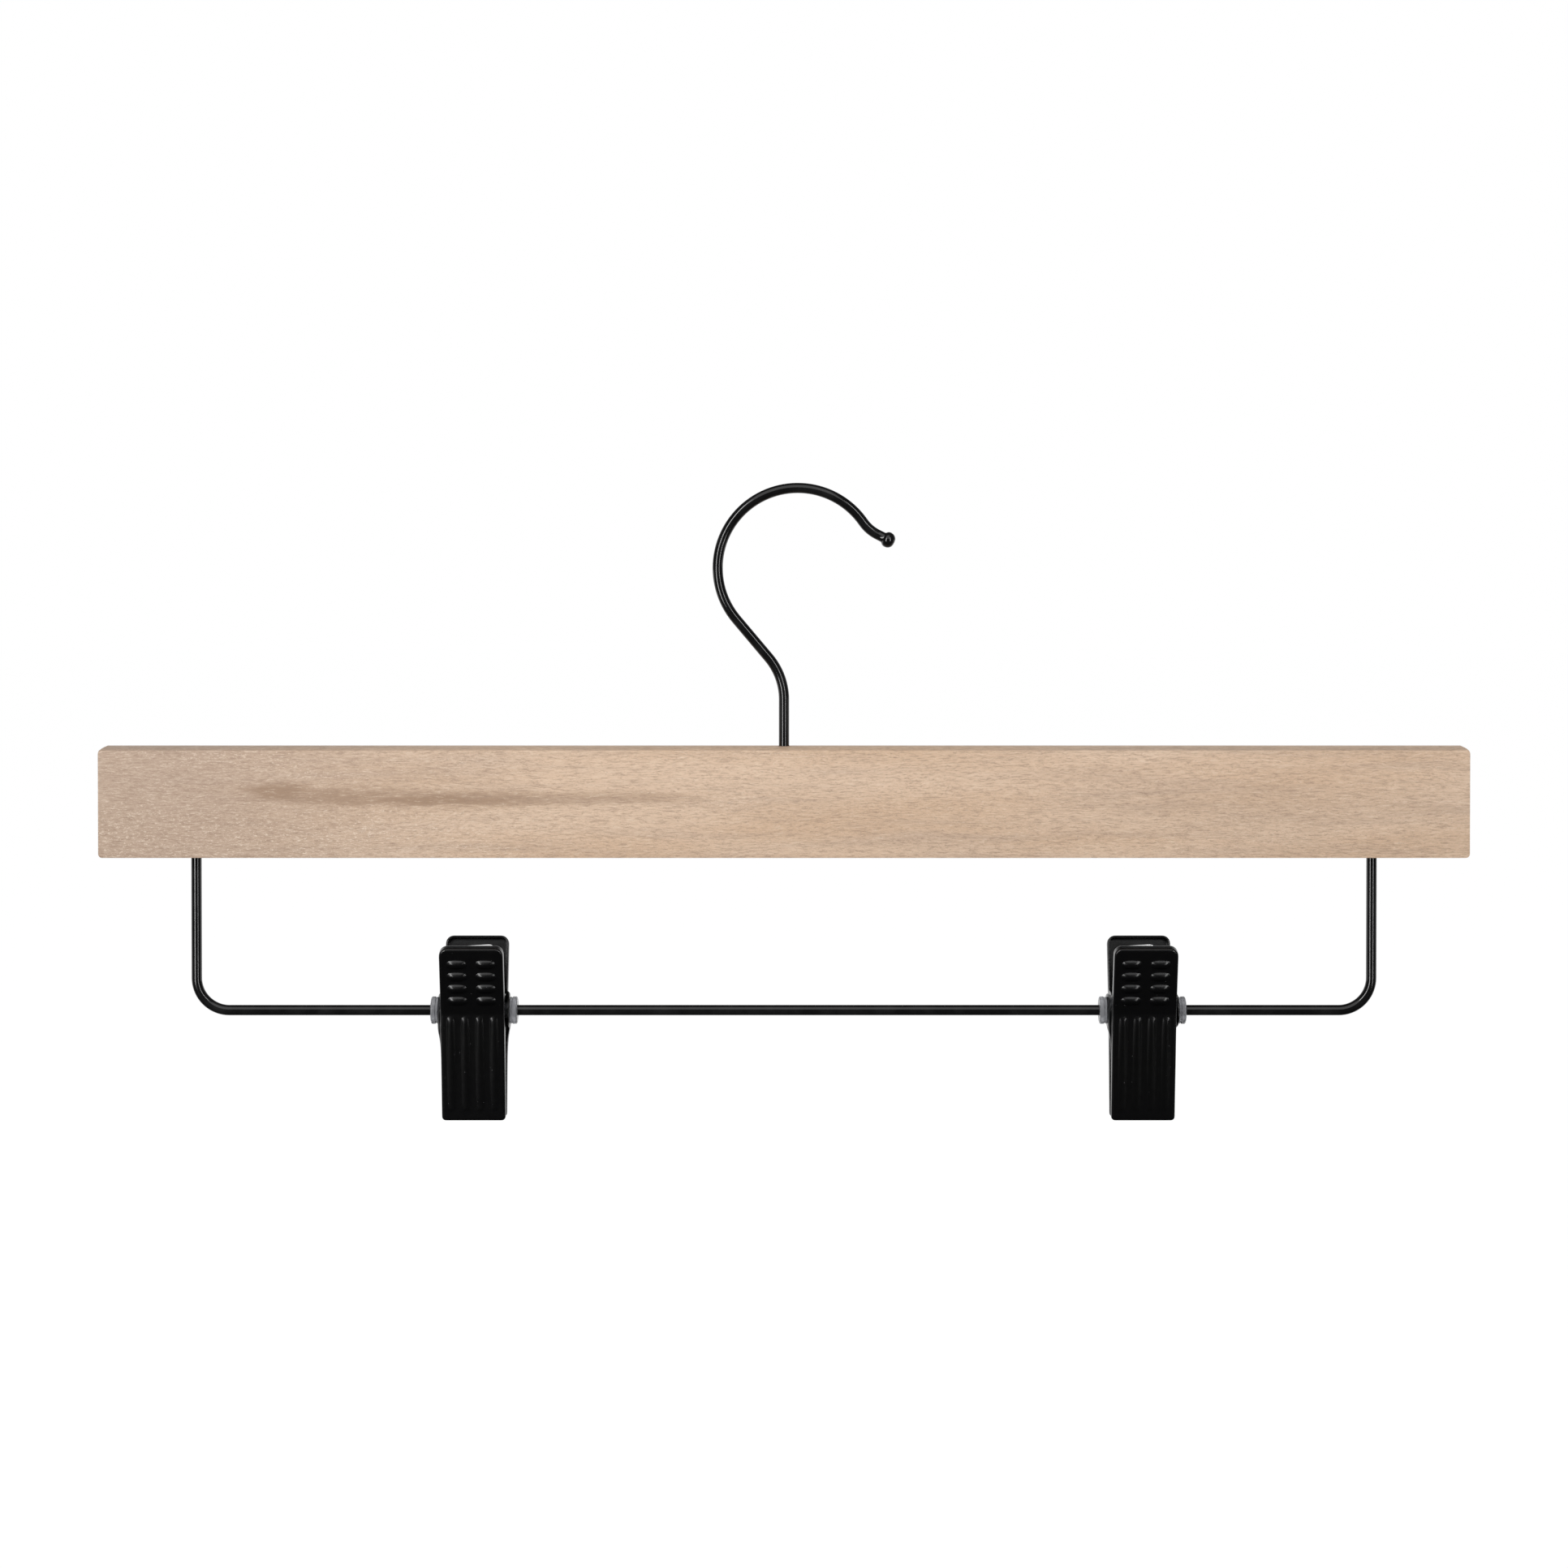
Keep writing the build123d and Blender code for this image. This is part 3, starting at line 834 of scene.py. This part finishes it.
@dataclass
class Clip:
    """Shapes that the two clips share, in millimetres about the clip's own joint."""

    width: float = 19.6
    sheet: float = 0.8
    handle_height: float = 20.8
    jaw_height: float = 33.6
    handle_reach: float = 13.0
    pivot_reach: float = 7.5
    jaw_reach: float = 3.4
    handle_flange: float = 3.2
    pivot_flange: float = 3.8
    jaw_flange: float = 1.7
    top_corner: float = 2.4
    jaw_corner: float = 1.2
    rim: float = 1.1
    flange_lines: Pair = (1.5, 2.3)
    ear_lines: tuple[float, ...] = (-9.0, -6.2, -3.2)
    # The ear's root from its top down, how far the joggle stays inside it, and how far beyond its
    # bottom and its top the edges reach that the ear is drawn from
    ear_root: Pair = (4.4, -9.0)
    joggle_inset: float = 1.0
    ear_slack: Pair = (0.5, 1.2)
    # Each row of an ear: its place from front to back, its top and its bottom
    ear_rows: tuple[Triple, ...] = (
        (-2.2, 5.3, -6.2), (0.2, 5.2, -5.3), (2.4, 4.7, -4.7), (4.2, 3.2, -3.2), (5.05, 1.6, -1.6),
    )
    ear_hole_r: float = 2.5
    joggle: float = 1.2
    # Outline of the left bush: place along the wire, and radius
    bush_profile: tuple[Pair, ...] = (
        (-13.3, 1.65), (-13.3, 3.6), (-13.2, 3.95), (-12.95, 4.2), (-11.95, 4.2), (-11.75, 3.95),
        (-11.6, 3.95), (-11.5, 4.1), (-11.1, 4.1), (-11.1, 2.4), (-8.9, 2.4), (-8.9, 2.65),
        (-8.3, 2.4), (-8.3, 1.65),
    )
    spring_width: float = 10.4
    spring_strip: float = 0.5
    spring_loop_r: float = 2.35
    spring_depth: float = 1.13
    spring_foot: float = 3.8
    spring_below_top: float = 2.5
    spring_corner: float = 1.8
    spring_slant: float = 0.7
    spring_knee_r: float = 1.6
    # How far below the spring's end its end points are looked for
    spring_end_zone: float = 0.1
    # Each ring of a rib: how far in it lies, its depth on a grip rib and on a flute, and the share of
    # its length that a grip rib keeps
    rib_steps: tuple[tuple[float, float, float, float], ...] = (
        (0.12, 0.06, 0.02, 1.0), (0.42, 0.34, 0.04, 0.87), (0.46, 0.24, 0.03, 0.78), (0.34, 0.07, 0.01, 0.7),
    )
    # How much further out each ring stands at a flute's upper end
    flute_lifts: tuple[float, ...] = (0.05, 0.12, 0.07, 0.02)
    flute_draw: float = 0.3
    flute_lift_run: float = 1.5
    grip_size: Pair = (6.6, 3.1)
    grip_places: tuple[float, ...] = (4.41, 8.41, 12.41, 16.41)
    grip_columns: Pair = (-4.4, 4.4)
    flute_size: Pair = (2.8, 30.6)
    flute_middle: float = -15.6
    flute_places: tuple[float, ...] = (-6.6, -2.2, 2.2, 6.6)
    corner_steps: int = 5
    subdivisions: int = 2
    round_sides: int = 48
    loop_steps: int = 14
    knee_steps: int = 6
    tip_steps: int = 4
    # Width, steps and angle of the rounding on the bushes and on the springs
    bush_ease: tuple[float, int, float] = (0.12, 2, 40)
    spring_ease: tuple[float, int, float] = (0.1, 2, 50)
    # Smoothing angles of the stampings, the bushes and the springs
    smooth_angles: Triple = (60, 50, 45)
    handle_lean: float = field(init=False)
    jaw_lean: float = field(init=False)
    handle_run: float = field(init=False)
    jaw_run: float = field(init=False)

    def __post_init__(self) -> None:
        """Work out the leans and the lengths along the faces."""
        self.handle_lean = degrees(atan2(self.handle_reach - self.pivot_reach, self.handle_height))
        self.jaw_lean = degrees(atan2(self.pivot_reach - self.jaw_reach, self.jaw_height))
        self.handle_run = hypot(self.handle_height, self.handle_reach - self.pivot_reach)
        self.jaw_run = hypot(self.jaw_height, self.pivot_reach - self.jaw_reach)

    def stamping(self) -> bpy.types.Object:
        """Press one stamping: blank, ribs, flanges, ears and fold."""
        piece = self.blank()
        self.press_ribs(piece)
        self.turn_flanges(piece)
        self.fold(piece)
        self.grow_ears(piece)
        self.thicken(piece)
        return piece

    def blank(self) -> bpy.types.Object:
        """Cut the flat blank with rounded corners, facing the front, its crease at height 0."""
        centre = mm(0, 0, (self.handle_run - self.jaw_run) / 2)
        size = mm(self.width, self.handle_run + self.jaw_run, 1)
        upright = (radians(90), 0, 0)
        piece = start_piece(
            "stamping", bpy.ops.mesh.primitive_plane_add, size, size=1, location=centre, rotation=upright
        )
        edit(piece)
        for high, corner in ((True, self.top_corner), (False, self.jaw_corner)):
            choose(Select.POINTS, lambda v: (v.co.z > 0) == high)
            bpy.ops.mesh.bevel(offset=corner * MM, segments=self.corner_steps, affect="VERTICES")
        choose(Select.FACES, lambda f: True)
        bpy.ops.mesh.inset(thickness=self.rim * MM)
        return piece

    def score(self, axis: str, place: float, high: bool | None) -> None:
        """Cut an edge line across the blank, or across its handle or its jaw alone.

        Args:
            axis: "x" for an upright line and "z" for a level one.
            place: Where the line goes, in millimetres.
            high: True for the handle alone, False for the jaw alone and None for both.
        """
        choose(Select.FACES, lambda f: high is None or (middle(f).z > 0) == high)
        spot = mm(place, 0, 0) if axis == "x" else mm(0, 0, place)
        bpy.ops.mesh.bisect(plane_co=spot, plane_no=(axis == "x", 0, axis == "z"))

    def round_end(self, x: float, z: float, radius: float, side: int, rise: int) -> None:
        """Pull the two corners of a rib's end in to a round end.

        Args:
            x: Across the blank, where the round end has its centre, in millimetres.
            z: Up the blank, where it has its centre.
            radius: Its radius.
            side: -1 or 1 for an end that faces left or right, and 0 for an upright rib.
            rise: -1 or 1 for an end that faces down or up, and 0 for a level rib.
        """
        corners = [mm(x + (side or hand) * radius, 0, z + (rise or hand) * radius) for hand in (-1, 1)]
        choose(Select.POINTS, lambda v: any((v.co - corner).length < NEAR for corner in corners))
        bpy.ops.transform.resize(value=(ROUND_END, 1, ROUND_END), center_override=mm(x, 0, z))

    def press_ribs(self, piece: bpy.types.Object) -> None:
        """Lay out the ribs on the blank and press them outwards."""
        edit(piece)
        self.score("z", 0, None)
        wide, tall = self.grip_size
        narrow, length = self.flute_size
        for hand in (-1, 0, 1):
            for row in self.grip_places:
                self.score("z", row + hand * tall / 2, True)
            for column in self.flute_places:
                self.score("x", column + hand * narrow / 2, False)
        for hand in (-1, 1):
            for column in self.grip_columns:
                self.score("x", column + hand * wide / 2, True)
                self.score("x", column + hand * (wide - tall) / 2, True)
            self.score("z", self.flute_middle + hand * length / 2, False)
            self.score("z", self.flute_middle + hand * (length - narrow) / 2, False)
        for hand in (-1, 1):
            for column in self.grip_columns:
                for row in self.grip_places:
                    self.round_end(column + hand * (wide - tall) / 2, row, tall / 2, hand, 0)
            for column in self.flute_places:
                self.round_end(column, self.flute_middle + hand * (length - narrow) / 2, narrow / 2, 0, hand)

        def on_rib(face: bmesh.types.BMFace) -> bool:
            """Whether a face of the blank lies on a rib."""
            spot = middle(face) / MM
            if spot.z > 0:
                level = any(abs(spot.z - row) < tall / 2 for row in self.grip_places)
                return level and any(abs(spot.x - column) < wide / 2 for column in self.grip_columns)
            level = abs(spot.z - self.flute_middle) < length / 2
            return level and any(abs(spot.x - column) < narrow / 2 for column in self.flute_places)

        for high in (True, False):
            count = choose(Select.FACES, lambda f: on_rib(f) and (middle(f).z > 0) == high)
            LOG.info("rib faces pressed: %d", count)
            for thickness, grip, flute, _ in self.rib_steps:
                share = 1 if high else narrow / tall
                bpy.ops.mesh.inset(thickness=thickness * share * MM, depth=(grip if high else flute) * MM)
        self.taper_ribs()

    def taper_ribs(self) -> None:
        """Draw in the ends of the level ribs ring by ring, and lift the upper ends of the flutes."""
        lift = 0.0
        for _, depth, _, share in self.rib_steps:
            level = lift + depth / 2
            lift += depth
            for column in self.grip_columns:
                choose(Select.POINTS, lambda v: v.co.z > 0 and v.co.x * column > 0 and v.co.y < -level * MM)
                bpy.ops.transform.resize(value=(share, 1, 1), center_override=mm(column, 0, 0))
        narrow, length = self.flute_size
        top = self.flute_middle + length / 2 - narrow - self.flute_lift_run
        lift = 0.0
        for (_, _, depth, _), raised in zip(self.rib_steps, self.flute_lifts):
            level = lift + depth / 2
            lift += depth + raised
            choose(Select.POINTS, lambda v: top * MM < v.co.z < 0 and v.co.y < -level * MM)
            bpy.ops.transform.translate(value=mm(0, -raised, -self.flute_draw))

    def turn_flanges(self, piece: bpy.types.Object) -> None:
        """Turn the rim back all round, and trim it deep at the pivot and shallow at the jaw."""
        edit(piece)
        choose(Select.EDGES, lambda e: e.is_boundary)
        depth = 0.0
        for line in (self.rim, *self.flange_lines, self.pivot_flange):
            push(mm(0, line - depth, 0))
            depth = line
        for end, depth in ((self.handle_run, self.handle_flange), (-self.jaw_run, self.jaw_flange)):
            choose(Select.FACES, lambda f: middle(f).z * end > 0)
            slope = (self.pivot_flange - depth) / end
            bpy.ops.mesh.bisect(
                plane_co=mm(0, self.pivot_flange, 0), plane_no=(0, 1, slope), clear_outer=True
            )
        for line in self.ear_lines:
            choose(Select.FACES, lambda f: abs(middle(f).x) > self.width / 2 * MM - NEAR)
            bpy.ops.mesh.bisect(plane_co=mm(0, 0, line), plane_no=(0, 0, 1))

    def fold(self, piece: bpy.types.Object) -> None:
        """Fold the handle out and the jaw in about the crease, and bring the fold to its reach."""
        edit(piece)
        crease = 0.001 * MM
        leans = (
            (self.handle_lean, lambda z: z > crease),
            (self.jaw_lean, lambda z: z < -crease),
            ((self.handle_lean + self.jaw_lean) / 2, lambda z: abs(z) <= crease),
        )
        points = bmesh.from_edit_mesh(piece.data).verts
        groups = [(lean, {v.index for v in points if test(v.co.z)}) for lean, test in leans]
        for lean, group in groups:
            choose(Select.POINTS, lambda v: v.index in group)
            bpy.ops.transform.rotate(value=-radians(lean), orient_axis="X", center_override=(0, 0, 0))
        bpy.ops.mesh.select_all(action="SELECT")
        bpy.ops.transform.translate(value=mm(0, -self.pivot_reach, 0))
        clear_selection()

    def grow_ears(self, piece: bpy.types.Object) -> None:
        """Draw the two ears out of the flanges, the left one standing out by a joggle."""
        edit(piece)
        side = self.width / 2
        front = -self.pivot_reach + sum(self.flange_lines) / 2
        high, low = self.ear_root
        choose(Select.POINTS, lambda v: v.co.x < NEAR - side * MM and v.co.y > front * MM
               and (low + self.joggle_inset) * MM < v.co.z < (high - self.joggle_inset) * MM)
        bpy.ops.transform.translate(value=mm(-self.joggle, 0, 0))
        below, above = self.ear_slack
        for x, hand in ((-side - self.joggle, -1), (side, 1)):
            choose(Select.EDGES, lambda e: e.is_boundary and middle(e).x * hand > side * MM - NEAR
                   and (low - below) * MM < min(v.co.z for v in e.verts)
                   and max(v.co.z for v in e.verts) < (high + above) * MM)
            for y, top, bottom in self.ear_rows:
                push(Vector())
                self.line_up(x, y, bottom, top)
        clear_selection()

    def line_up(self, x: float, y: float, low: float, high: float) -> None:
        """Bring the selected row of points onto one upright line.

        Args:
            x: The line's place across the clip, in millimetres.
            y: Its place from front to back.
            low: The height of its lowest point.
            high: The height of its highest point.
        """
        shape = bmesh.from_edit_mesh(bpy.context.edit_object.data)
        heights = [v.co.z for v in shape.verts if v.select]
        stretch = (high - low) * MM / (max(heights) - min(heights))
        foot = (x * MM, y * MM, min(heights))
        bpy.ops.transform.resize(value=(0, 0, stretch), center_override=foot)
        bpy.ops.transform.translate(value=(0, 0, low * MM - min(heights)))

    def thicken(self, piece: bpy.types.Object) -> None:
        """Give the sheet its thickness inwards, smooth the pressing and bore both ears for the bushes."""
        wall = piece.modifiers.new("Sheet", "SOLIDIFY")
        wall.thickness, wall.offset, wall.use_even_offset = self.sheet * MM, -1, True
        curve = piece.modifiers.new("Smooth", "SUBSURF")
        curve.levels = curve.render_levels = self.subdivisions
        apply_modifiers(piece)
        bore(piece, Vector(), self.ear_hole_r, 2 * self.width, self.round_sides, 90)
        smooth(piece, self.smooth_angles[0])

    def bush(self) -> bpy.types.Object:
        """Turn the clear bush of the clip's left end on a lathe."""
        (x, radius), *rest = self.bush_profile
        piece = start_piece(
            "bush", bpy.ops.mesh.primitive_circle_add, vertices=self.round_sides, radius=radius * MM,
            fill_type="NOTHING", location=mm(x, 0, 0), rotation=(0, radians(90), 0),
        )
        edit(piece)
        bpy.ops.mesh.select_all(action="SELECT")
        for next_x, next_radius in rest:
            push(mm(next_x - x, 0, 0))
            share = next_radius / radius
            bpy.ops.transform.resize(value=(1, share, share), center_override=mm(next_x, 0, 0))
            x, radius = next_x, next_radius
        choose(Select.EDGES, lambda e: e.is_boundary)
        bpy.ops.mesh.bridge_edge_loops()
        face_outwards(piece)
        ease_edges(piece, *self.bush_ease)
        smooth(piece, self.smooth_angles[1])
        return piece

    def spring(self) -> bpy.types.Object:
        """Bend the strip spring: half of it from the bottom of its loop to a foot, then its mirror."""
        lean = radians(self.handle_lean)
        inwards, up = Vector((0, cos(lean), sin(lean))), Vector((0, -sin(lean), cos(lean)))
        loop_r = self.spring_loop_r
        foot = Vector((0, -self.pivot_reach, 0)) + inwards * self.spring_depth
        tip = foot + up * (self.handle_run - self.spring_below_top)
        knee = tip - up * self.spring_foot
        start = degrees(atan2(knee.z, knee.y)) + degrees(acos(loop_r / knee.length))
        rise = Vector((0, cos(radians(start)), sin(radians(start)))) * loop_r
        climb = (knee - rise).normalized()
        turn = degrees(climb.angle(up))
        tangent = self.spring_knee_r * tan(radians(turn / 2))
        piece = start_piece("spring", bpy.ops.mesh.primitive_plane_add, size=self.spring_width * MM)
        edit(piece)
        choose(Select.POINTS, lambda v: v.co.y > 0)
        bpy.ops.mesh.delete(type="VERT")
        bpy.ops.mesh.select_all(action="SELECT")
        bpy.ops.transform.resize(value=(1, 0, 0), center_override=(0, 0, -loop_r * MM))
        bpy.ops.mesh.spin(
            steps=self.loop_steps, angle=radians(270 - start), center=(0, 0, 0), axis=(1, 0, 0)
        )
        push((knee - climb * tangent - rise) * MM)
        hand = 1 if climb.cross(up).x > 0 else -1
        side = Vector((0, -climb.z, climb.y)) * hand
        centre = knee - climb * tangent + side * self.spring_knee_r
        bpy.ops.mesh.spin(
            steps=self.knee_steps, angle=-radians(turn) * hand, center=centre * MM, axis=(1, 0, 0)
        )
        push((tip - knee - up * tangent) * MM)
        level = tip.z - self.spring_end_zone
        choose(Select.POINTS, lambda v: v.co.x < 0 and v.co.z > level * MM)
        bpy.ops.transform.translate(value=-up * self.spring_slant * MM)
        choose(Select.POINTS, lambda v: v.co.z > (level - self.spring_slant) * MM)
        bpy.ops.mesh.bevel(offset=self.spring_corner * MM, segments=self.tip_steps, affect="VERTICES")
        clear_selection()
        half = piece.modifiers.new("Half", "MIRROR")
        half.use_axis = (False, True, False)
        wall = piece.modifiers.new("Strip", "SOLIDIFY")
        wall.thickness, wall.offset = self.spring_strip * MM, 0
        ease_edges(piece, *self.spring_ease)
        smooth(piece, self.smooth_angles[2])
        return piece


@dataclass
class ClipPair:
    """Both clips on the wire, made once and copied to their places."""

    wire_z: float = WIRE_Z
    blend_reach: float = 7.0
    places: tuple[tuple[Side, float], ...] = ((Side.LEFT, -99.6), (Side.RIGHT, 106.2))

    def build(
        self, clip: Clip, enamel: bpy.types.Material, clear: bpy.types.Material, bright: bpy.types.Material
    ) -> None:
        """Make every piece of both clips.

        Args:
            clip: The shapes that they share.
            enamel: The stampings' finish.
            clear: The bushes' finish.
            bright: The springs' finish.
        """
        pressing, bush, strip = clip.stamping(), clip.bush(), clip.spring()
        for side, x in self.places:
            hand, joint = side.value, mm(x, 0, self.wire_z)
            for face, turn in (("front", 0), ("back", 180)):
                plate = copy_of(pressing, f"{hand}_{face}_stamping", turn, joint)
                dress(plate, enamel, f"{hand}_{face}_jaw", "black_enamel", f"{hand}_{face}_plate")
            for end, turn in (("left", 0), ("right", 180)):
                ring = copy_of(bush, f"{hand}_{end}_clear_bush", turn, joint)
                dress(ring, clear, f"{hand}_slider", "clear_plastic", f"{hand}_clip_{end}_bush")
            spring = copy_of(strip, f"{hand}_strip_spring", 0, joint)
            spring.data.materials.append(bright)
            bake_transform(spring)
            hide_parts(f"{hand}_spring")
            LOG.info("%s bends between the two jaws", spring.name)
        for model in (pressing, bush, strip):
            bpy.data.objects.remove(model, do_unlink=True)


@dataclass(frozen=True)
class Lamp:
    """One soft lamp of the studio, in metres and watts."""

    name: str
    place: Triple
    aim: Triple
    size: Pair
    power: float


@dataclass
class Studio:
    """Camera, lamps, white surround and pale floor."""

    camera_place: Triple = (-0.0042, -1.00625, 0.0183)
    tilt: float = 1.0
    lens: float = 75.15
    sensor: float = 36.0
    shift: float = -0.187
    camera_range: Pair = (0.05, 20.0)
    # Light from all round, what the white surround behind adds to it, and what gloss sees ahead
    fill: float = 0.36
    back_fill: float = 1.1
    dim: float = 0.025
    # Where the white surround begins and is full, going back and coming down
    backdrop: tuple[Pair, Pair] = ((0.2, 0.9), (0.6, 0.25))
    floor_size: float = 12.0
    floor_roughness: float = 0.9
    floor_z: float = -0.45
    floor_ahead: Pair = (0.0, 0.6)
    floor_glow: float = 0.945
    # The floor's tone to the eye and to gloss
    floor_tones: Pair = (0.12, 0.03)
    lamps: tuple[Lamp, ...] = (
        Lamp("left softbox", (-0.73, -1.08, 0.24), (0, 0, 0.24), (0.26, 1.3), 10.0),
        Lamp("right softbox", (0.73, -1.08, 0.24), (0, 0, 0.24), (0.16, 1.3), 5.2),
        Lamp("overhead softbox", (-0.1, -0.75, 0.75), (0, 0, -0.08), (1.2, 1.1), 4.2),
    )

    def build(self) -> None:
        """Set up the studio."""
        self.place_camera()
        self.hang_lamps()
        self.light_surround()
        self.lay_floor()
        bpy.context.scene.view_settings.view_transform = "Standard"

    def stand(self, name: str, data: bpy.types.ID, place: Triple, turn: object) -> bpy.types.Object:
        """Stand a camera or a lamp at its place, turned by three angles."""
        made = bpy.data.objects.new(name, data)
        bpy.context.scene.collection.objects.link(made)
        made.location, made.rotation_euler = place, turn
        return made

    def place_camera(self) -> None:
        """Stand the camera where the photograph was taken from."""
        data = bpy.data.cameras.new("camera")
        data.lens, data.sensor_width, data.shift_y = self.lens, self.sensor, self.shift
        data.clip_start, data.clip_end = self.camera_range
        turn = (radians(90 - self.tilt), 0, 0)
        bpy.context.scene.camera = self.stand("camera", data, self.camera_place, turn)

    def hang_lamps(self) -> None:
        """Hang each lamp and aim it at the hanger."""
        for lamp in self.lamps:
            data = bpy.data.lights.new(lamp.name, "AREA")
            data.shape, data.size, data.size_y, data.energy = "RECTANGLE", *lamp.size, lamp.power
            beam = Vector(lamp.aim) - Vector(lamp.place)
            self.stand(lamp.name, data, lamp.place, beam.to_track_quat("-Z", "Y").to_euler())

    def light_surround(self) -> None:
        """Make the surround white to the eye, through clear plastic and behind the hanger to gloss.

        Gloss sees it dim ahead of the hanger, as the room behind a camera is, and all else gets a soft fill,
        which is stronger from the white surround behind the hanger.
        """
        sheet = NodeSheet("surround", surround=True)
        bpy.context.scene.world = sheet.owner
        rays = sheet.add("ShaderNodeLightPath").outputs
        toward = sheet.add("ShaderNodeSeparateXYZ", {"Vector": sheet.place}).outputs
        backdrop = 1.0
        for axis, (start, end) in zip("YZ", self.backdrop):
            backdrop = sheet.between(toward[axis], start, end, backdrop, self.dim)
        strength = sheet.sums("MULTIPLY_ADD", backdrop, self.back_fill, self.fill)
        for ray, level in (("Glossy", backdrop), ("Transmission", 1.0), ("Camera", 1.0)):
            inputs = {0: rays[f"Is {ray} Ray"], 2: strength, 3: level}
            strength = sheet.add("ShaderNodeMix", inputs).outputs[0]
        light = sheet.add("ShaderNodeBackground", {"Color": WHITE, "Strength": strength})
        sheet.add("ShaderNodeOutputWorld", {"Surface": light.outputs[0]})

    def lay_floor(self) -> None:
        """Lay the pale floor well under the hanging object."""
        clear_selection()
        bpy.ops.mesh.primitive_plane_add(size=self.floor_size, location=(0, 0, self.floor_z))
        floor = bpy.context.object
        floor.name = "floor"
        sheet = NodeSheet("pale_floor")
        path = sheet.add("ShaderNodeLightPath").outputs
        depth = sheet.add("ShaderNodeSeparateXYZ", {"Vector": sheet.place}).outputs["Y"]
        gloss = sheet.sums("MULTIPLY", path["Is Glossy Ray"], sheet.between(depth, *self.floor_ahead))
        through = sheet.sums("MAXIMUM", path["Is Transmission Ray"], gloss)
        seen = sheet.sums("MAXIMUM", path["Is Camera Ray"], through)
        seen_tone, gloss_tone = ((tone, tone, tone) for tone in self.floor_tones)
        floor.data.materials.append(sheet.finished(
            Base_Color=sheet.mix(path["Is Glossy Ray"], seen_tone, gloss_tone),
            Roughness=self.floor_roughness,
            Specular_IOR_Level=0.0,
            Emission_Color=WHITE,
            Emission_Strength=sheet.sums("MULTIPLY", seen, self.floor_glow),
        ))


def dress_node(name: str, material: bpy.types.Material) -> None:
    """Give a node that keeps its own shape a finer material."""
    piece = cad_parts[name]
    piece.data.materials.clear()
    piece.data.materials.append(material)
    LOG.info("%s keeps its shape", name)


def main() -> None:
    """Build the hanger and its studio."""
    logging.basicConfig(level=logging.INFO, format="%(name)s: %(message)s")
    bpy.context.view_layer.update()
    lacquer = LacqueredWire().build("black_lacquer")
    enamel = ClipEnamel().build("black_enamel")
    SwivelHook().build(lacquer)
    WireBar().build(lacquer)
    WoodenBar().build(PaleWood().build("pale_wood"))
    clear, bright = ClearPlastic().build("clear_plastic"), BrightStrip().build("bright_strip")
    ClipPair().build(Clip(), enamel, clear, bright)
    rubber, zinc = PadRubber().build("pad_rubber"), ZincPlate().build("zinc_plate")
    for side in Side:
        for face in ("front", "back"):
            dress_node(f"{side.value}_{face}_pad", rubber)
    dress_node("hook_washer", zinc)
    dress_node("hook_nut", zinc)
    Studio().build()


if __name__ == "__main__":
    main()
